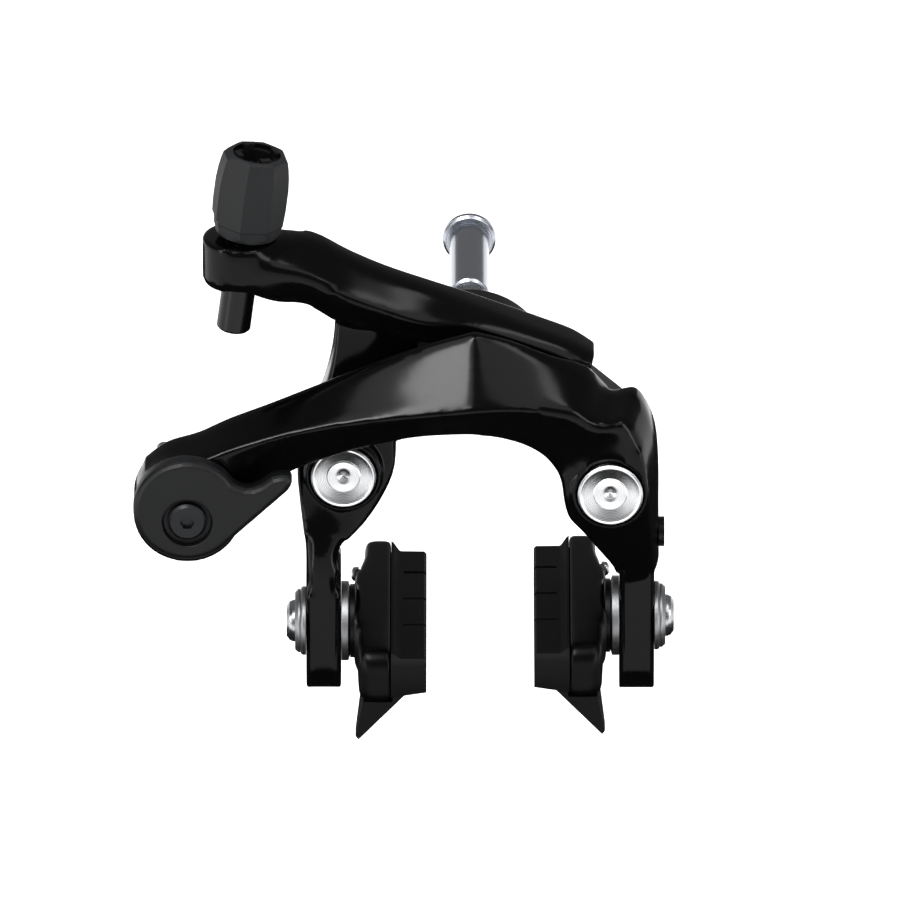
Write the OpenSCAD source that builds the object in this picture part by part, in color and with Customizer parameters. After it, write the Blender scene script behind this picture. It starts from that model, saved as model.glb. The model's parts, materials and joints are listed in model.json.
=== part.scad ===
// Dual-pivot rim brake caliper for a road bicycle, with shoes, quick release and cable adjuster.
// +X is to the right seen from the front, +Y to the rear and +Z up. The origin lies on the axis of the
// mounting bolt, at the rear face of its seat washer, where the caliper meets the fork.

/* [Mounting bolt] */
// Diameter of the mounting bolt
bolt_d = 6; // [5:0.1:7]
// Diameter of the bolt's head
bolt_head_d = 10; // [8.5:0.1:12]
// Height of the bolt's head
bolt_head_h = 4.6; // [3:0.1:6]
// Key size of the bolt's head
bolt_key = 4; // [3:0.5:5]
// Fork crown between the seat washer and the sleeve nut
crown_t = 26.3; // [20:0.1:34]
// Thread that runs into the sleeve nut
bolt_grip = 9; // [6:0.5:14]
// Diameter of the sleeve nut
sleeve_d = 8; // [7.6:0.1:10]
// Length of the sleeve nut
sleeve_len = 29.5; // [22:0.1:36]
// Diameter of the sleeve nut's flange
sleeve_flange_d = 10.7; // [10.2:0.1:14]
// Thickness of the sleeve nut's flange
sleeve_flange_t = 2; // [1.2:0.1:3]
// Key size of the sleeve nut
sleeve_key = 5; // [4:0.5:5.5]
// Depth of the sleeve nut's key socket
sleeve_key_depth = 7; // [4:0.5:10]
// Diameter of the seat washer
seat_d = 17; // [14:0.5:20]
// Thickness of the seat washer
seat_t = 2; // [1.2:0.1:3]

/* [Pivot bracket] */
// Radius of the round middle of the bracket
hub_r = 15.7; // [14:0.1:16.5]
// Diameter of the bracket's rear spigot
spigot_d = 20; // [18:0.5:24]
// Length of the rear spigot
spigot_t = 2; // [1:0.1:3]
// Thickness of the bracket's plate
bracket_t = 7.5; // [6:0.1:9]
// Radius of the bracket round each pivot
lug_r = 8.5; // [7.5:0.1:8.8]
// Radius of the arch over the tyre
arch_r = 24; // [22:0.1:24.6]
// Depth of the arch's crown below the bolt axis
arch_drop = 8; // [7.4:0.1:9]

/* [Pivots] */
// Left pivot, to the left of the bolt axis
left_pivot = 25.2; // [24.6:0.1:26]
// Right pivot, to the right of the bolt axis
right_pivot = 28.1; // [27.6:0.1:29]
// Pivots below the bolt axis
pivot_drop = 14.95; // [14.4:0.05:15.6]
// Diameter of the pivot axles
axle_d = 7; // [6:0.1:8]
// Diameter of the axles' threaded ends
axle_end_d = 6; // [5:0.1:6.5]
// Wall of the pivot bushes
bush_wall = 1; // [0.6:0.1:1.4]
// Diameter of the turned pivot caps
cap_d = 13; // [12.4:0.1:13.4]
// Thickness of the pivot caps
cap_t = 2.2; // [1.8:0.1:2.8]
// Height of the caps above the arms
cap_rise = 0.5; // [0.2:0.1:1]
// Diameter of the caps' inner ring
cap_ring_d = 6.6; // [5:0.1:8]
// Diameter of the drilled point in the middle of the caps
cap_point_d = 3; // [2:0.1:4]
// Width across the flats of the axle nuts
axle_nut_af = 9; // [8:0.5:10]
// Thickness of the axle nuts
axle_nut_t = 2.6; // [2:0.1:3]
// Thickness of the thrust washers
thrust_t = 0.8; // [0.5:0.1:1.2]
// Diameter of the thrust washers
thrust_d = 14; // [12:0.5:16]
// Length of the rear arm's pivot boss
rear_boss_len = 14.85; // [13:0.05:16]
// Length of the front arm's pivot boss
front_boss_len = 23.15; // [22:0.05:25]
// Radius of the rear arm's pivot boss
rear_boss_r = 7.7; // [7.4:0.1:8.6]
// Radius of the front arm's pivot boss
front_boss_r = 7.7; // [7.4:0.1:8.6]
// Largest closing angle of each arm
close_deg = 10; // [4:1:10]

/* [Legs and shoes] */
// Shoe posts below the bolt axis
shoe_drop = 48.6; // [47:0.1:51]
// Shoe posts in front of the mounting face
shoe_front = 23; // [21:0.1:24]
// Right shoe set higher in its slot than the left
right_raise = 1.2; // [0:0.1:3]
// Gap between the braking faces
pad_gap = 21.5; // [20:0.1:23]
// Middle of the gap, to the right of the bolt axis
pad_mid = 2.15; // [1:0.05:3]
// Length of a shoe
shoe_len = 55; // [45:0.5:60]
// Height of a shoe holder
shoe_h = 11; // [10:0.1:12]
// Depth of a shoe holder across the wheel
holder_t = 6.9; // [6:0.1:8]
// Height of the rubber
pad_h = 8.6; // [7.5:0.1:9.4]
// Rise of the rubber's lower edge towards the wheel
pad_taper = 1.3; // [0.5:0.1:2]
// Depth of the rubber in front of the holder
pad_t = 7.1; // [5:0.1:8]
// Width of the wear grooves in the rubber
groove_w = 1; // [0.6:0.1:1.6]
// Depth of the wear grooves
groove_deep = 4.6; // [2:0.1:5]
// Distance between the wear grooves
groove_step = 12.2; // [9:0.1:13]
// Rise of the rubber's lip beside the holder
pad_lip = 0.9; // [0.4:0.1:1.1]
// Drop of the guide fin below the holder
fin_drop = 8.3; // [4:0.1:9.5]
// Diameter of the heads of the screws that hold the rubber
pad_screw_d = 2.9; // [2.4:0.1:3.4]
// Height of those heads
pad_screw_h = 1.5; // [1:0.1:2]
// Thickness of a leg
leg_t = 7; // [6:0.1:8]
// Width of a leg
leg_w = 12; // [11:0.1:13]
// End of a leg below the shoe post
leg_tail = 14.2; // [12:0.1:15]
// Travel of a shoe post up its slot
slot_up = 6.9; // [4:0.1:7]
// Travel of a shoe post down its slot
slot_down = 3.1; // [1:0.1:4]
// Diameter of the shoe bolts
post_d = 6; // [5:0.1:6.4]
// Diameter of the shoe bolts' heads
post_head_d = 8.4; // [8:0.1:10]
// Height of the shoe bolts' heads
post_head_h = 1.7; // [1.6:0.1:3]
// Diameter of the dished washers by the shoes
dish_d = 16; // [14:0.1:17]
// Thickness of the convex washers
convex_t = 2.1; // [1.6:0.1:2.6]
// Thickness of the concave washers
concave_t = 0.9; // [0.8:0.1:1.6]
// Diameter of the washers on the outside of the legs
outer_washer_d = 13.8; // [12:0.1:15]
// Diameter of the washers under the bolt heads
head_washer_d = 12.8; // [11:0.1:14]
// Thickness of each outer washer
outer_washer_t = 1.1; // [0.8:0.05:1.4]

/* [Quick release] */
// Quick-release axis, to the left of the bolt axis
release_x = 56.3; // [55:0.1:57.5]
// Quick-release axis below the bolt axis
release_drop = 17.6; // [17:0.1:18.4]
// Diameter of the cam shaft
shaft_d = 8; // [7:0.1:9]
// Thickness of the arm's end at the cam shaft
end_t = 11.2; // [8:0.1:12]
// Radius of the arm's end at the cam shaft
end_r = 10.8; // [10:0.1:11.4]
// Thickness of the lever
lever_t = 3.8; // [3.2:0.1:6]
// Radius of the lever's round part
lever_r = 10.8; // [9.8:0.1:11.4]
// Rise of the lever's round part above the cam shaft
lever_rise = 2.65; // [2:0.05:3.5]
// Reach of the lever's tail from the cam shaft
tail_reach = 20.8; // [17:0.1:23]
// Diameter of the recess for the lever's screw
recess_d = 10; // [9:0.1:10.6]
// Depth of that recess
recess_deep = 1.8; // [1.4:0.1:2]
// Diameter of the head of the lever's screw
lever_screw_d = 7.8; // [7:0.1:8.4]
// Diameter of the cable
cable_d = 1.6; // [1.2:0.1:2]
// Diameter of the clamp bolt
clamp_d = 5; // [4:0.1:6]
// Diameter of the clamp bolt's head
clamp_head_d = 8.4; // [7:0.1:9]
// Thickness of the clamp plate
clamp_t = 2.2; // [1.6:0.1:3]

/* [Cable adjuster] */
// Adjuster to the left of the bolt axis, at the foot of its boss
adjuster_x = 45.9; // [45.2:0.1:46.4]
// Height of the foot of the boss above the bolt axis
adjuster_z = 24.2; // [24:0.1:25.4]
// Adjuster in front of the mounting face
adjuster_front = 19; // [18.4:0.1:19.6]
// Lean of the adjuster towards the middle
adjuster_lean = 7.2; // [5:0.1:9]
// Diameter of the adjuster's boss
boss_d = 14.9; // [14.4:0.1:16]
// Height of the adjuster's boss
boss_h = 10.3; // [8.5:0.1:11]
// Diameter of the hollow bolt
stem_d = 6.8; // [6.4:0.1:7.6]
// Length of the hollow bolt below the boss
stem_drop = 10.2; // [7:0.1:13]
// Diameter of the cable housing's socket
housing_d = 5.1; // [4.4:0.1:5.4]
// Depth of the housing's socket
housing_deep = 9; // [6:0.5:14]
// Largest diameter of the knob
knob_d = 15; // [13.5:0.1:16]
// Height of the knob
knob_h = 17.3; // [15:0.1:21]
// Diameter of the knob's foot
knob_foot_d = 11.8; // [11:0.1:13]
// Diameter of the clip ring in the knob's mouth
clip_d = 9.4; // [8.6:0.1:10]
// Number of flats round the knob
knob_flats = 8; // [6:1:12]

/* [Roller and spring] */
// Roller to the right of the bolt axis
roller_x = 16; // [15.5:0.1:16.5]
// Roller above the bolt axis
roller_z = 3; // [2.5:0.1:3.5]
// Radius of the roller
roller_r = 3; // [2.6:0.1:3.2]
// Length of the roller
roller_len = 5.6; // [4.5:0.1:6]
// Diameter of the roller's pin
roller_pin_d = 3; // [2:0.1:3.6]
// Thickness of the rear arm's finger over the roller
finger_t = 4; // [3:0.1:4.4]
// Depth of the rear arm's finger
finger_w = 5; // [4:0.1:5.4]
// Diameter of the return spring's wire
wire_d = 1.8; // [1.4:0.1:2]
// Radius of the spring seats
seat_r = 2; // [1.6:0.1:2.3]
// Diameter of the centring screw's head
centring_d = 6; // [5:0.1:7]
// Height of the centring screw's head
centring_h = 1.2; // [0.8:0.1:2]

/* [Clearances] */
// Radial running clearance of shafts and bushes
run_gap = 0.03; // [0.02:0.01:0.08]
// End clearance between turning pieces
end_gap = 0.05; // [0.03:0.01:0.2]
// Clearance round recessed caps and heads
recess_gap = 0.3; // [0.2:0.05:0.5]
// Clearance between an arm and the piece behind it
pass_gap = 0.7; // [0.5:0.05:1.2]
// Clearance of bolts in their holes and slots
hole_gap = 0.2; // [0.1:0.05:0.3]

/* [Hidden] */
$fn = 48;
eps = 0.01;

// Layers from the mounting face forwards
plate_rear = -seat_t - spigot_t;
plate_front = plate_rear - bracket_t;
arm_rear = plate_front - thrust_t - end_gap;
rear_front = arm_rear - rear_boss_len;
front_front = arm_rear - front_boss_len;
left_cap_front = rear_front - cap_rise;
right_cap_front = front_front - cap_rise;
pass_y = left_cap_front - pass_gap;
leg_y = -shoe_front;

// Pivot centres, seen from the front
left_at = [-left_pivot, -pivot_drop];
right_at = [right_pivot, -pivot_drop];
bush_d = axle_d + 2 * run_gap + 2 * bush_wall;
cap_hole_d = cap_d + 2 * recess_gap;

// Stack of the shoes, from the braking face out to the leg
stack = pad_t + holder_t + concave_t + convex_t + 2 * end_gap;
left_face_x = pad_mid - pad_gap / 2;
right_face_x = pad_mid + pad_gap / 2;
left_leg_x = left_face_x - stack;
right_leg_x = right_face_x + stack;
slot_w = post_d + 2 * hole_gap;
spot_gap = 0.4;
spot_deep = 6;
leg_end_z = -shoe_drop - leg_tail + leg_w / 2;

// Quick release
cam_at = [-release_x, -release_drop];
end_front = pass_y - end_t;
lever_rear = end_front - end_gap;
lever_front = lever_rear - lever_t;
lever_face_d = 2 * (lever_r + lever_rise) + 1.4;
lever_grip = 1.2;
lever_thread_d = 4;
cam_rear = pass_y + 0.6 + end_gap;
clamp_y = -adjuster_front - cable_d / 2;
clamp_at = cam_at + [-1.6, 1.2];
clamp_block_d = clamp_d + 6;
clamp_seat = clamp_y + cable_d / 2 + 0.1;

// Roller and the finger that runs on it
roller_at = [roller_x, roller_z];
roller_rear = plate_front - 6.4;
finger_rear = roller_rear - 0.3;

// A point turned clockwise by a degrees, seen from the front
function turned(p, a) = [p.x * cos(a) + p.y * sin(a), p.y * cos(a) - p.x * sin(a)];
// The roller's centre as the rear arm sees it while both arms close by a degrees
function roller_path(a) = left_at + turned(right_at - left_at, a) + turned(roller_at - right_at, 2 * a);
function unit(v) = v / norm(v);
function roller_normal(a) =
    let (t = unit(roller_path(a + 0.5) - roller_path(a - 0.5)))
    [-t.y, t.x];

// Smooth curve through a list of stations, n steps between each two
function blend(a, b, c, d, t) =
    0.5 * (2 * b + (c - a) * t + (2 * a - 5 * b + 4 * c - d) * t * t + (3 * b - a - 3 * c + d) * t * t * t);
function through(s, n) = concat(
    [for (i = [0:len(s) - 2], k = [0:n - 1])
        blend(s[max(i - 1, 0)], s[i], s[i + 1], s[min(i + 2, len(s) - 1)], k / n)],
    [s[len(s) - 1]]);

// A closed outline with each corner rounded by a short curve of k steps that starts r before the corner;
// r is one length or a list with a length for each corner
function rounded(p, r, k) = [for (i = [0:len(p) - 1])
    let (a = p[(i + len(p) - 1) % len(p)], b = p[i], c = p[(i + 1) % len(p)],
        q = is_list(r) ? r[i] : r, ta = min(q, 0.45 * norm(a - b)), tc = min(q, 0.45 * norm(c - b)),
        u = b + unit(a - b) * ta, w = b + unit(c - b) * tc)
    for (j = [0:k]) let (t = j / k) u * (1 - t) * (1 - t) + b * 2 * t * (1 - t) + w * t * t];

// Section of a forged arm. A station holds the outer edge [x, z], the inner edge [x, z], the depth of the
// rear face, of the outer edge's front, the share of the width at which the ridge runs, the ridge's depth and
// the depth of the inner edge's front.
function section(s, r) =
    let (outer = [s[0], s[1]], inner = [s[2], s[3]], w = norm(outer - inner), d = (outer - inner) / w)
    [for (q = rounded([[0, s[4]], [w, s[4]], [w, s[5]], [w * s[6], s[7]], [0, s[8]]], r, 3))
        [inner.x + d.x * q.x, q.y, inner.y + d.y * q.x]];

// Solid through a list of rings with equal counts of points
module loft(rings) {
    n = len(rings[0]);
    m = len(rings);
    polyhedron(
        points = [for (r = rings) each r],
        faces = concat(
            [[for (j = [0:n - 1]) j]],
            [[for (j = [n - 1:-1:0]) (m - 1) * n + j]],
            [for (i = [0:m - 2], j = [0:n - 1]) let (k = (j + 1) % n)
                [i * n + j, (i + 1) * n + j, (i + 1) * n + k]],
            [for (i = [0:m - 2], j = [0:n - 1]) let (k = (j + 1) % n)
                [i * n + j, (i + 1) * n + k, i * n + k]]),
        convexity = 6);
}

// Round wire along a list of points in one upright plane
module wire(p, d, y, sides) {
    loft([for (i = [0:len(p) - 1])
        let (t = unit(p[min(i + 1, len(p) - 1)] - p[max(i - 1, 0)]), out = [-t.y, t.x])
        [for (j = [0:sides - 1]) let (a = -360 * j / sides)
            [p[i].x + out.x * cos(a) * d / 2, y - sin(a) * d / 2, p[i].y + out.y * cos(a) * d / 2]]]);
}

// Cylinder along Y at a point seen from the front, from depth a back to depth b
module rod_y(at, d, a, b) {
    translate([at.x, a, at.y]) rotate([-90, 0, 0]) cylinder(h = b - a, d = d);
}

// Turned shape along Y: the profile holds [radius, depth] pairs with depths growing to the rear
module turned_y(at, profile) {
    translate([at.x, 0, at.y]) rotate([-90, 0, 0]) rotate_extrude() polygon(profile);
}

// Cylinder along X from a to b
module rod_x(y, z, d, a, b) {
    translate([a, y, z]) rotate([0, 90, 0]) cylinder(h = b - a, d = d);
}

// Turned shape along X: [radius, x] pairs with x growing
module turned_x(y, z, profile) {
    translate([0, y, z]) rotate([0, 90, 0]) rotate_extrude() polygon(profile);
}

// Hexagonal prism along Y
module hex_y(at, af, a, b) {
    translate([at.x, a, at.y]) rotate([-90, 0, 0]) cylinder(h = b - a, d = af / cos(30), $fn = 6);
}

// Web between two circles, a little inside their outer tangents
module web(a, ra, b, rb) {
    dir = unit(b - a);
    k = (ra - rb) / norm(b - a);
    up = [-dir.y, dir.x] * sqrt(1 - k * k) + dir * k;
    dn = [dir.y, -dir.x] * sqrt(1 - k * k) + dir * k;
    in = 0.2;
    polygon([a + up * (ra - in), b + up * (rb - in), b + dn * (rb - in), a + dn * (ra - in)]);
}

// Outline in the X-Z plane given depth, from depth a back to depth b
module slab_y(a, b) {
    translate([0, b, 0]) rotate([90, 0, 0]) linear_extrude(b - a) children();
}

module pivot_bracket() color("#26272a") {
    mid_x = (right_pivot - left_pivot) / 2;
    difference() {
        union() {
            slab_y(plate_front, plate_rear) difference() {
                union() {
                    circle(r = hub_r);
                    for (p = [left_at, right_at]) {
                        translate(p) circle(r = lug_r);
                        web([0, 0], hub_r, p, lug_r);
                    }
                }
                translate([mid_x, -arch_drop - arch_r]) circle(r = arch_r);
            }
            rod_y([0, 0], spigot_d, plate_rear - eps, plate_rear + spigot_t);
        }
        rod_y([0, 0], bolt_d, plate_front - 1, 1);
        for (p = [left_at, right_at]) rod_y(p, axle_end_d, plate_front - 1, 1);
    }
}

module mount_bolt() color("#9a9ca0") difference() {
    turned_y([0, 0], [
        [0, plate_front - bolt_head_h], [bolt_head_d / 2 - 0.8, plate_front - bolt_head_h],
        [bolt_head_d / 2, plate_front - bolt_head_h + 0.8], [bolt_head_d / 2, plate_front],
        [bolt_d / 2, plate_front], [bolt_d / 2, crown_t + bolt_grip - 0.8],
        [bolt_d / 2 - 0.8, crown_t + bolt_grip], [0, crown_t + bolt_grip]]);
    hex_y([0, 0], bolt_key, plate_front - bolt_head_h - 1, plate_front - bolt_head_h + 2.6);
}

module seat_washer() color("#8e9094") turned_y([0, 0], [
    [bolt_d / 2, -seat_t], [seat_d / 2, -seat_t], [seat_d / 2, -0.5], [seat_d / 2 - 0.5, 0],
    [bolt_d / 2, 0]]);

module sleeve_nut() color("#a9b0b8") {
    tail = crown_t + sleeve_len;
    difference() {
        turned_y([0, 0], [
            [bolt_d / 2, crown_t], [sleeve_d / 2 - 0.5, crown_t], [sleeve_d / 2, crown_t + 0.5],
            [sleeve_d / 2, tail - sleeve_flange_t - 0.4], [sleeve_d / 2 - 0.3, tail - sleeve_flange_t],
            [sleeve_flange_d / 2 - 0.5, tail - sleeve_flange_t],
            [sleeve_flange_d / 2, tail - sleeve_flange_t + 0.5],
            [sleeve_flange_d / 2, tail - 0.5], [sleeve_flange_d / 2 - 0.5, tail],
            [0, tail], [0, tail - sleeve_key_depth - 3], [bolt_d / 2, tail - sleeve_key_depth - 5]]);
        hex_y([0, 0], sleeve_key, tail - sleeve_key_depth, tail + 1);
    }
}

// Axle with a dished, turned cap in front and a threaded end through the bracket
module axle(at, cap_front) turned_y(at, [
    [0, cap_front + 1.5], [cap_point_d / 2, cap_front + 0.65], [cap_ring_d / 2 - 0.1, cap_front + 0.6],
    [cap_ring_d / 2 + 0.1, cap_front + 0.8], [cap_d / 2 - 0.75, cap_front + 0.12],
    [cap_d / 2 - 0.6, cap_front], [cap_d / 2 - 0.3, cap_front], [cap_d / 2, cap_front + 0.3],
    [cap_d / 2, cap_front + cap_t], [axle_d / 2, cap_front + cap_t], [axle_d / 2, plate_front],
    [axle_end_d / 2, plate_front], [axle_end_d / 2, plate_rear + axle_nut_t + 0.3],
    [axle_end_d / 2 - 0.4, plate_rear + axle_nut_t + 0.7], [0, plate_rear + axle_nut_t + 0.7]]);

module left_axle() color("#c9cbce") axle(left_at, left_cap_front);

module right_axle() color("#c9cbce") axle(right_at, right_cap_front);

module axle_nuts() color("#8e9094") for (p = [left_at, right_at]) difference() {
    hex_y(p, axle_nut_af, plate_rear, plate_rear + axle_nut_t);
    rod_y(p, axle_end_d, plate_rear - 1, plate_rear + axle_nut_t + 1);
}

module thrust_washers() color("#b9bbbe") for (p = [left_at, right_at]) difference() {
    rod_y(p, thrust_d, plate_front - thrust_t, plate_front);
    rod_y(p, axle_d, plate_front - thrust_t - 1, plate_front + 1);
}

// Return spring: an arch of wire under the bracket that spreads the two spring seats
spring_y = plate_rear - 2;
spring_gap = 0.08;
spring_mid = [(right_pivot - left_pivot) / 2, -arch_drop - arch_r];
spring_r = arch_r - wire_d / 2 - 0.15;
seat_drop = 12;
left_seat_at = left_at + [0.9, -seat_drop];
right_seat_at = right_at + [-0.9, -seat_drop];
spring_hold = seat_r + wire_d / 2 + spring_gap;
spring_tail = 2.4;
seat_pin_d = 2 * seat_r - 1;
seat_pin_front = arm_rear - 6.65;
seat_pin_rear = arm_rear - 1.05;
clip_w = 8;
clip_wall = 0.9;
function spring_arc(a) = spring_mid + spring_r * [cos(a), sin(a)];
spring_path = concat(
    [left_seat_at + [spring_hold, -spring_tail], left_seat_at + [spring_hold, 0]],
    [for (a = [146:-7.3:34]) spring_arc(a)],
    [right_seat_at + [-spring_hold, 0], right_seat_at + [-spring_hold, -spring_tail]]);

module return_spring() color("#8f9296") wire(spring_path, wire_d, spring_y, 8);

// Clip that holds the crown of the spring under the bracket
module spring_clip() color("#1c1c1d") difference() {
    top = -arch_drop;
    low = spring_mid.y + spring_r - wire_d / 2 - clip_wall;
    slab_y(spring_y - wire_d / 2 - 1.5, plate_rear - spring_gap) difference() {
        translate([spring_mid.x - clip_w / 2, low]) square([clip_w, top - low]);
        translate(spring_mid) circle(r = spring_r - wire_d / 2 - clip_wall);
        difference() {
            translate([spring_mid.x - clip_w, top - clip_w / 2]) square([2 * clip_w, clip_w]);
            translate(spring_mid) circle(r = arch_r - spring_gap);
        }
    }
    translate([spring_mid.x, spring_y, spring_mid.y]) rotate([90, 0, 0])
        rotate_extrude() translate([spring_r, 0]) circle(d = wire_d + 0.06);
}

// Leg of an arm round the slot of a shoe post
module leg(x) {
    translate([x, 0, 0]) rotate([90, 0, 90]) linear_extrude(leg_t) {
        translate([leg_y, leg_end_z]) circle(d = leg_w);
        translate([leg_y - leg_w / 2, leg_end_z]) square([leg_w, -pivot_drop - 19.5 - leg_end_z]);
    }
}

// Cut along X from x to x + t, as wide as d, over the travel of a shoe post
module post_travel(d, x, t) {
    translate([x, 0, 0]) rotate([90, 0, 90]) linear_extrude(t) {
        for (z = [slot_up, -slot_down]) translate([leg_y, z - shoe_drop]) circle(d = d);
        translate([leg_y - d / 2, -shoe_drop - slot_down]) square([d, slot_up + slot_down]);
    }
}

// Slot through a leg between x and x + leg_t, and the spot faces for its washers: s = 1 has the wheel at +X
module slot(x, s) {
    post_travel(slot_w, x - 1, leg_t + 2);
    post_travel(dish_d + 2 * spot_gap, s > 0 ? x + leg_t : x - spot_deep, spot_deep);
    post_travel(outer_washer_d + 2 * spot_gap, s > 0 ? x - spot_deep : x + leg_t, spot_deep);
}

// Bore, bush seat, cap recess and washer face of an arm's pivot
module pivot_bore(at, front) {
    rod_y(at, bush_d, front - 1, 0);
    rod_y(at, thrust_d + 2 * spot_gap, arm_rear, plate_front);
    rod_y(at, cap_hole_d, front - 1, front + cap_t - cap_rise + end_gap);
}

// Rear arm: beam from the adjuster over the front arm, and the leg past the left pivot
beam = [
    [-adjuster_x + 1.6, 33.6, -adjuster_x + 1.0, 24.4, -12.5, -25, 0.7, -26.3, -26],
    [-38.4, 34, -38.7, 21.4, -12.8, -20.5, 0.66, -25.9, -24.4],
    [-31.1, 32.7, -32.4, 19.9, arm_rear, -17, 0.58, -24.7, -21.8],
    [-24, 28.8, -26, 15.8, arm_rear, -17, 0.56, -24.2, -21],
    [-16.7, 25.4, -18.2, 13.5, arm_rear, -17, 0.55, -23.9, -21],
    [-8, 22.2, -8.8, 11.6, arm_rear, -17.5, 0.5, -23.6, -21.5],
    [0, 19.4, -0.5, 10.8, arm_rear, -18.5, 0.66, -23.5, -22],
    [8, 16.4, 7, 9.4, arm_rear, -20, 0.66, -23.5, -22.5],
    [14.5, 13.9, 13.2, 7.9, arm_rear, -20.5, 0.6, -23.5, -22.5],
    [20.6, 11.4, 19.3, 5.8, arm_rear, -20.5, 0.58, -23.3, -22.4],
    [25.1, 8.9, 23.7, 5.0, -13.6, -20, 0.6, -22.6, -21.6]];
rear_leg = [
    [-9, 14.5, -26.8, 17.5, arm_rear, -19.5, 0.5, -21.6, -19.5],
    [-11, 7.4, -27.2, 10, arm_rear, -20, 0.5, -22.4, -20.4],
    [-13, 0, -28.9, 2, arm_rear, -21, 0.5, -23.2, -21.2],
    [left_at.x + 10.6, left_at.y + 7.5, left_at.x - 7, left_at.y + 8, arm_rear, -22, 0.5, -24, -22.4],
    [left_at.x + 10.4, left_at.y + 0.2, left_at.x - 9.2, left_at.y, arm_rear, -22.8, 0.5, -24.6, -23.2],
    [left_at.x + 8.2, left_at.y - 5.6, left_at.x - 8.9, left_at.y - 6, arm_rear, -23.8, 0.5, -25.6, -24.2],
    [left_at.x + 4.2, left_at.y - 11.5, left_at.x - 8.2, left_at.y - 12, -14, -25.2, 0.5, -27.2, -25.6],
    [left_leg_x - 0.6, left_at.y - 16.6, left_leg_x - leg_t, left_at.y - 17, leg_y + 6.4, leg_y - 5, 0.5,
        leg_y - 5.9, leg_y - 5],
    [left_leg_x, left_at.y - 21.5, left_leg_x - leg_t, left_at.y - 22.5, leg_y + 6, leg_y - 5.4, 0.5,
        leg_y - 6, leg_y - 5.4]];
finger_in = [for (a = [-1:1:close_deg + 1]) roller_path(a) + roller_normal(a) * (roller_r + 0.08)];
finger_out = [for (a = [close_deg + 0.4:-1:-3]) roller_path(a) + roller_normal(a) * (roller_r + finger_t)];

module adjuster_frame() {
    translate([-adjuster_x, -adjuster_front, adjuster_z]) rotate([0, adjuster_lean, 0]) children();
}

module rear_arm() color("#17181a") difference() {
    union() {
        loft([for (s = through(beam, 4)) section(s, 1.3)]);
        loft([for (s = through(rear_leg, 3)) section(s, 1.3)]);
        leg(left_leg_x - leg_t);
        rod_y(left_at, 2 * rear_boss_r, rear_front, arm_rear);
        slab_y(finger_rear - finger_w, finger_rear) polygon(concat(finger_in, finger_out));
        translate([-adjuster_x, -adjuster_front, adjuster_z]) rotate_extrude() polygon([
            [0, 0], [boss_d / 2 - 1.6, 0], [boss_d / 2 - 0.5, 0.6], [boss_d / 2, 1.8],
            [boss_d / 2, boss_h - 0.7], [boss_d / 2 - 0.25, boss_h - 0.2], [boss_d / 2 - 0.8, boss_h],
            [0, boss_h]]);
    }
    pivot_bore(left_at, rear_front);
    slot(left_leg_x - leg_t, 1);
    rod_y(left_seat_at, seat_pin_d, seat_pin_front - 1, plate_rear);
    adjuster_frame() translate([0, 0, -8]) cylinder(h = boss_h + 16, d = stem_d + 2 * run_gap);
}

module bush(at, front) difference() {
    rod_y(at, bush_d, front + cap_t - cap_rise + end_gap, arm_rear);
    rod_y(at, axle_d + 2 * run_gap, front - 1, 0);
}

module rear_arm_bush() color("#b08d4f") bush(left_at, rear_front);

// Seat on the back of an arm that the end of the spring presses against
module spring_seat(at) {
    rod_y(at, seat_pin_d, seat_pin_front, seat_pin_rear);
    rod_y(at, 2 * seat_r, seat_pin_rear, spring_y + wire_d);
    rod_y(at, 2 * seat_r + 1.6, spring_y + wire_d, spring_y + wire_d + 1);
}

module left_spring_seat() color("#1c1c1d") spring_seat(left_seat_at);

// Front arm: from the quick release over the middle to the right pivot and down to the right shoe
pass_top = pass_y - 2;
front_left = [
    [cam_at.x - 8.6, cam_at.y + 8.0, cam_at.x - 9.4, cam_at.y - 3.0, pass_y, pass_top, 0.84,
        end_front + 1.6, end_front + 3],
    [cam_at.x - 4, cam_at.y + 11.6, cam_at.x - 5, cam_at.y - 9.0, pass_y, pass_top, 0.9,
        end_front + 0.6, end_front + 1],
    [cam_at.x + 2.3, cam_at.y + 13.7, cam_at.x + 3, cam_at.y - 9.4, pass_y, pass_top, 0.92,
        end_front, end_front + 1],
    [-47.9, -0.9, -45, -18.5, pass_y, pass_top, 0.86, end_front + 0.3, -36.4],
    [-40, 2.3, -37.5, -11.8, pass_y, pass_top, 0.77, -39.2, -34.6],
    [-30, 6.6, -29.9, -8.4, pass_y, pass_top, 0.65, -39.4, -34],
    [-19.9, 11.0, -19.5, -5.2, pass_y, pass_top, 0.51, -40, -34],
    [-9, 15.2, -9.5, -3.3, pass_y, pass_top, 0.41, -40.5, -34],
    [0.9, 18.1, 0.3, -2.6, pass_y, pass_top, 0.39, -41, -34.5]];
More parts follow.
